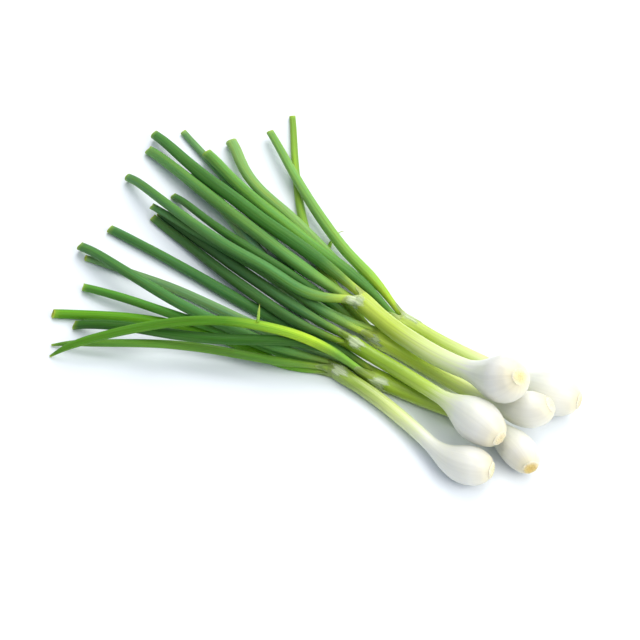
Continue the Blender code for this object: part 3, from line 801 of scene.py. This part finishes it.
def bulb_rows(neck, onion):
    """Rows from the root end up the stem to the sheath's edge, and back inside it.

    Each row has its points, their distances from the root end, and how much of a cut edge it is.
    """
    lengths = mouth_lengths(neck, onion)
    swell = waves(STEM_COLUMNS, 5, 0.008)
    vein_count = int(rng.integers(22, 27))
    rows = []
    for back, share in ROOT_END:
        circle = loop(neck.turns, share * neck.radii[0], neck.across[0], neck.above[0])
        rows.append((neck.points[0] - neck.along[0] * back + circle, 0.0, 0.0))
    for i, place in enumerate(neck.run):
        waist = min(1.0, place / WAIST_REACH)
        vein = VEIN_HEIGHT * np.cos(vein_count * neck.turns + VEIN_TWIST * place)
        row = neck.stem_row(i, 0, 1 + waist * (swell(place) + vein - WAIST_INSET))
        row[:, 2] = np.maximum(row[:, 2], FLOOR_GAP)
        rows.append((row, place, 0.0))
    for level in range(1, MOUTH_ROWS + 1):
        share = level / MOUTH_ROWS
        row = neck.mouth_row(lengths * share, SHEATH_WALL * (1 - 0.7 * share))
        rows.append((row, neck.run[-1] + lengths * share, RIM_CUT * max(0.0, (share - 0.8) / 0.2)))
    for level in range(MOUTH_ROWS, -1, -3):
        share = level / MOUTH_ROWS
        row = neck.mouth_row(lengths * share, SHEATH_GAP)
        rows.append((row, neck.run[-1] + lengths * share, RIM_CUT * (level == MOUTH_ROWS)))
    return rows


def add_bulb(neck, onion, shift):
    """A bulb and its stem, with the sheath that runs up the leaves."""
    rows, distances, cuts = zip(*bulb_rows(neck, onion))
    vertices, faces = skin(rows)
    root = np.concatenate([np.broadcast_to(distance, STEM_COLUMNS) for distance in distances])
    total = len(vertices)
    values = {
        "grown": pad(grown_places(np.tile(neck.turns, len(rows)), root), total),
        "from_root": pad(root / MM, total),
        "past_end": pad(np.maximum(root - neck.run[-1], 0) / MM, total),
        "cut": pad(np.repeat(cuts, STEM_COLUMNS), total),
    }
    node = f"bulb_{onion}"
    add_piece(f"{node}_skin", vertices, faces, values, bulb_material(onion, shift), node)


# ---------------------------------------------------------------- root plates


def stub(foot, out, across, above, wide, tall, first):
    """The stub of a trimmed root: its vertices, and its faces, whose vertices are numbered from first."""
    turns = circle_turns(STUB_SIDES)
    vertices = []
    for height, width, _ in STUB_RINGS:
        vertices += list(foot + out * tall * height + loop(turns, wide * width, across, above))
    vertices.append(foot + out * tall)
    faces = []
    for level in range(len(STUB_RINGS) - 1):
        start = first + level * STUB_SIDES
        for k in range(STUB_SIDES):
            a, b = start + k, start + (k + 1) % STUB_SIDES
            faces.append((a, a + STUB_SIDES, b + STUB_SIDES, b))
    top = first + len(vertices) - 1
    rim = top - STUB_SIDES
    faces += [(top, rim + (k + 1) % STUB_SIDES, rim + k) for k in range(STUB_SIDES)]
    faces.append(tuple(first + k for k in range(STUB_SIDES)))
    return vertices, faces


def add_plate(neck, onion):
    """The corky root plate: a low dome with the stubs of trimmed roots."""
    centre, out, size = neck.points[0], -neck.along[0], neck.radii[0]
    across, above = neck.across[0], neck.above[0]
    turns = circle_turns(PLATE_COLUMNS)
    lumps = waves(PLATE_COLUMNS, 9, 0.03)
    rows = []
    for height, share in PLATE_PROFILE:
        radius = size * share * (1 + lumps(40 * height * MM))
        lift = (height + 0.07 * np.cos(7 * turns + onion) * (height > 0)) * MM
        rows.append(centre + loop(turns, radius, across, above) + np.outer(lift, out))
    vertices, faces = skin(rows)
    middle = np.repeat([share for _, share in PLATE_PROFILE], PLATE_COLUMNS)
    middle = list(pad(middle, len(vertices)))
    vertices = list(vertices)
    dome_heights, dome_shares = np.array(PLATE_PROFILE[DOME_START:])[::-1].T
    for number in range(STUB_COUNT):
        share = math.sqrt(rng.uniform(0.02, 0.62))
        side = math.cos(STUB_TURN * number) * across + math.sin(STUB_TURN * number) * above
        height = np.interp(share, dome_shares, dome_heights) * MM - STUB_SINK
        foot = centre + size * share * side + out * height
        wide = rng.uniform(0.18, 0.32) * MM
        tall = rng.uniform(0.16, 0.3) * MM
        more, links = stub(foot, out, across, above, wide, tall, len(vertices))
        vertices += more
        faces += links
        middle += [*np.repeat([tone for _, _, tone in STUB_RINGS], STUB_SIDES), STUB_TOP]
    node = f"root_plate_{onion}"
    values = {"from_middle": middle}
    add_piece(f"{node}_disc", vertices, faces, values, plate_material(onion), node)


# ---------------------------------------------------------------- collars


def collar_point(neck, onion, wave, u, v, side):
    """A point of a collar: u from -1 to 1 round the neck, v from 0 to 1 up it, and side 1 outside."""
    facing, half, low, high = COLLARS[onion]
    turn = facing + half * u * (1 - 0.25 * math.sin(3 * v + wave[0]))
    top = high + 1.3 * math.sin(5 * u + wave[1]) + 0.8 * math.sin(13 * u + wave[2]) - 4.0 * abs(u) ** 3
    bottom = low + 1.6 * math.sin(4 * u + wave[3]) + 0.9 * math.sin(11 * u + wave[4]) + 3.0 * u * u
    edge = max(abs(u), abs(2 * v - 1)) ** 6
    wrinkle = 0.05 * math.sin(19 * u + 5 * v + wave[5]) + 0.04 * math.sin(31 * u - 7 * v)
    gap = 0.12 + wrinkle + 0.16 * edge + 0.06 * side
    return neck.surface_point((bottom + (top - bottom) * v) * MM, turn, gap * MM)


def sheet_faces(columns, levels):
    """Faces of a thin closed sheet: a grid of vertices inside, one outside, and a band round their border."""
    width = columns + 1
    outside = (levels + 1) * width
    faces = []
    for level in range(levels):
        for column in range(columns):
            a = level * width + column
            b = a + outside
            faces.append((a, a + width, a + width + 1, a + 1))
            faces.append((b, b + 1, b + width + 1, b + width))
    border = list(range(columns))
    border += [level * width + columns for level in range(levels)]
    border += [levels * width + column for column in range(columns, 0, -1)]
    border += [level * width for level in range(levels, 0, -1)]
    faces += [(a, b, b + outside, a + outside) for a, b in zip(border, border[1:] + border[:1])]
    return faces


def add_collar(neck, onion, shift):
    """A torn, milky membrane that clings to the neck on its upper side."""
    wave = rng.uniform(0, 6, 6)
    points, grown, cut = [], [], []
    for side in (0, 1):
        for level in range(COLLAR_LEVELS + 1):
            for column in range(COLLAR_COLUMNS + 1):
                u, v = 2 * column / COLLAR_COLUMNS - 1, level / COLLAR_LEVELS
                points.append(collar_point(neck, onion, wave, u, v, side))
                turned = 3.0 * column / COLLAR_COLUMNS
                grown.append((math.cos(turned), math.sin(turned), 0.5 * level * MM))
                cut.append(0.9 * max(0.0, (max(abs(u), abs(2 * v - 1)) - 0.5) / 0.5))
    faces = sheet_faces(COLLAR_COLUMNS, COLLAR_LEVELS)
    node = f"collar_{onion}"
    values = {"grown": grown, "cut": cut}
    add_piece(f"{node}_skin", points, faces, values, paper_material(onion, shift), node)


# ---------------------------------------------------------------- sprouts


def shoot(points, radii, first):
    """A fluted, tapering tube: vertices, faces numbered from first, and each vertex's place and turn."""
    turns = circle_turns(SHOOT_COLUMNS)
    along = unit(np.gradient(points, axis=0))
    across = unit(np.cross(along, SHOOT_SIDE))
    above = np.cross(along, across)
    flutes = (1 - 0.25 * np.cos(turns) ** 2) * (1 + 0.05 * np.cos(5 * turns))
    rows = [points[i] + loop(turns, radius * flutes, across[i], above[i]) for i, radius in enumerate(radii)]
    vertices, faces = skin(rows)
    place = np.repeat(np.linspace(0, 1, len(rows)), SHOOT_COLUMNS)
    turned = np.tile(turns, len(rows))
    faces = [tuple(first + k for k in face) for face in faces]
    return vertices, faces, pad(place, len(vertices)), pad(turned, len(vertices))


def add_sprout(node, fullness, side_shoots, shift):
    """A slender pointed shoot, with thinner ones that leave it. Its fullness scales the frame's widths."""
    points, radii, run = smooth(*straight_rings(node), SHOOT_STEP)
    share = run / run[-1]
    radii = radii * fullness * (1 - 0.75 * np.clip((share - 0.7) / 0.3, 0, 1))
    strands = [(points, radii, 0.0)]
    for start, length, way, curl, dry in side_shoots:
        at = np.linspace(0, 1, SIDE_SHOOT_ROWS)[:, None]
        foot = np.array([np.interp(start, share, column) for column in points.T])
        bend = np.array(way) * at + np.array(curl) * at**2 * (1.5 - at)
        width = np.interp(start, share, radii) * (0.75 - 0.6 * at[:, 0])
        strands.append((foot + bend * length * MM, width, dry))
    vertices, faces, place, withered, turned = [], [], [], [], []
    for line, width, dry in strands:
        more, links, places, turns = shoot(line, width, len(vertices))
        vertices += list(more)
        faces += links
        place += list(places)
        withered += list(dry * (0.5 + 0.5 * places))
        turned += list(turns)
    vertices = np.array(vertices)
    vertices[:, 2] = np.maximum(vertices[:, 2], FLOOR_GAP)
    grown = grown_places(turned, np.array(place) * run[-1])
    values = {"grown": grown, "from_base": place, "dry": withered}
    add_piece(f"{node}_shoot", vertices, faces, values, sprout_material(node, shift), node)


# ---------------------------------------------------------------- the bunch

# A shift moves the noise of a material, so that no two pieces have the same streaks.
for number, (node, onion) in enumerate(LEAVES.items()):
    add_leaf(node, onion, shift=3.7 * number)
for onion in FAMILIES:
    neck = Neck(onion)
    add_bulb(neck, onion, shift=5.1 * onion)
    add_plate(neck, onion)
    add_collar(neck, onion, shift=4.3 * onion)
add_sprout("sprout_1", 1.25, SIDE_SHOOTS, shift=1.3)
add_sprout("sprout_2", 1.0, [], shift=2.6)

# ---------------------------------------------------------------- stage, light and camera

bpy.ops.mesh.primitive_plane_add(size=FLOOR_SIZE)
floor = bpy.context.object
floor.name = "floor"
floor.data.materials.append(floor_material())

world = bpy.data.worlds.new("soft_world")
world.use_nodes = True
background = world.node_tree.nodes["Background"]
background.inputs["Color"].default_value = SKY
background.inputs["Strength"].default_value = SKY_STRENGTH
bpy.context.scene.world = world

# Directions as the camera sees them, and the one from the bunch back to the camera.
RIGHT = Vector((math.cos(AZIMUTH), math.sin(AZIMUTH), 0))
AWAY = Vector((-math.sin(AZIMUTH), math.cos(AZIMUTH), 0))
UP = Vector((0, 0, 1))
BACK = UP * math.sin(ELEVATION) - AWAY * math.cos(ELEVATION)


def looking(direction):
    """The rotation of a lamp or a camera that looks in a direction."""
    return direction.to_track_quat("-Z", "Y").to_euler()


def area_light(name, place, size, power, colour):
    """A soft lamp that is turned towards the bunch."""
    light = bpy.data.lights.new(name, "AREA")
    light.size = size
    light.energy = power
    light.color = colour
    lamp = bpy.data.objects.new(name, light)
    lamp.location = place
    lamp.rotation_euler = looking(AIM - place)
    bpy.context.scene.collection.objects.link(lamp)


for name, ((right, away, up), size, power, colour) in LAMPS.items():
    area_light(name, AIM + RIGHT * right + AWAY * away + UP * up, size, power, colour)

camera = bpy.data.objects.new("camera", bpy.data.cameras.new("camera"))
camera.data.lens = LENS_MM
camera.data.sensor_width = SENSOR_MM
camera.location = AIM + BACK * DISTANCE
camera.rotation_euler = looking(-BACK)
bpy.context.scene.collection.objects.link(camera)
bpy.context.scene.camera = camera
bpy.context.scene.view_settings.view_transform = "Standard"
